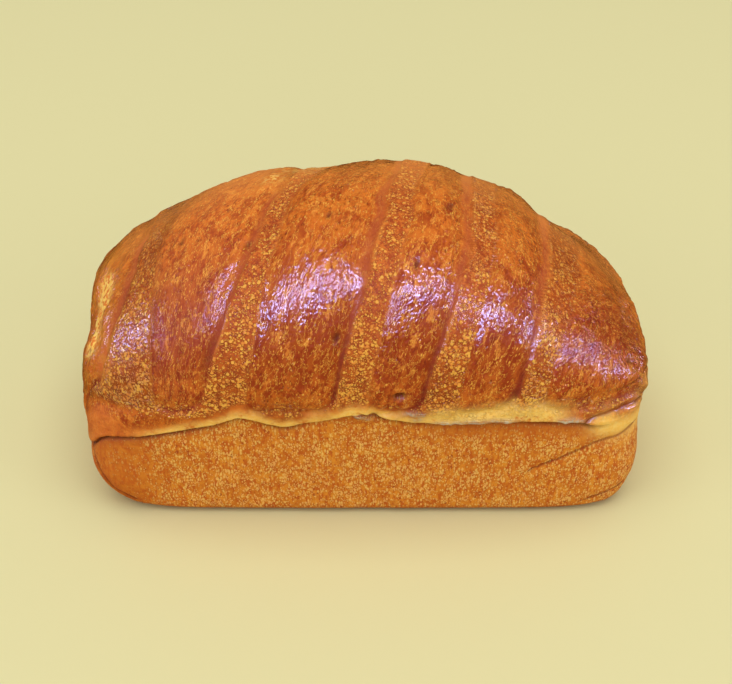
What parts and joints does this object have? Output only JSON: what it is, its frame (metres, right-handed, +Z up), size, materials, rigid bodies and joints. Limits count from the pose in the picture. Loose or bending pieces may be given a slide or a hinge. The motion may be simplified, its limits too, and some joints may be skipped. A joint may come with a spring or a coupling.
{
  "type": "brioche loaf",
  "caption": "Tin-baked brioche loaf with a flat base, pale straight walls, a crease at the tin's rim and a glazed, slanting-slashed domed top.",
  "frame": {"origin": "centre of the flat base, on the surface the loaf stands on", "axes": "+Z up, X along the loaf's length, -Y towards its front"},
  "size_m": [0.2214, 0.112, 0.1216],
  "materials": {
    "crust": "baked crust: glossy egg-washed red-brown dome, satin blistered skin strips, matt golden walls"
  },
  "bodies": {
    "root": {"loaf": "crust"}
  },
  "joints": []
}
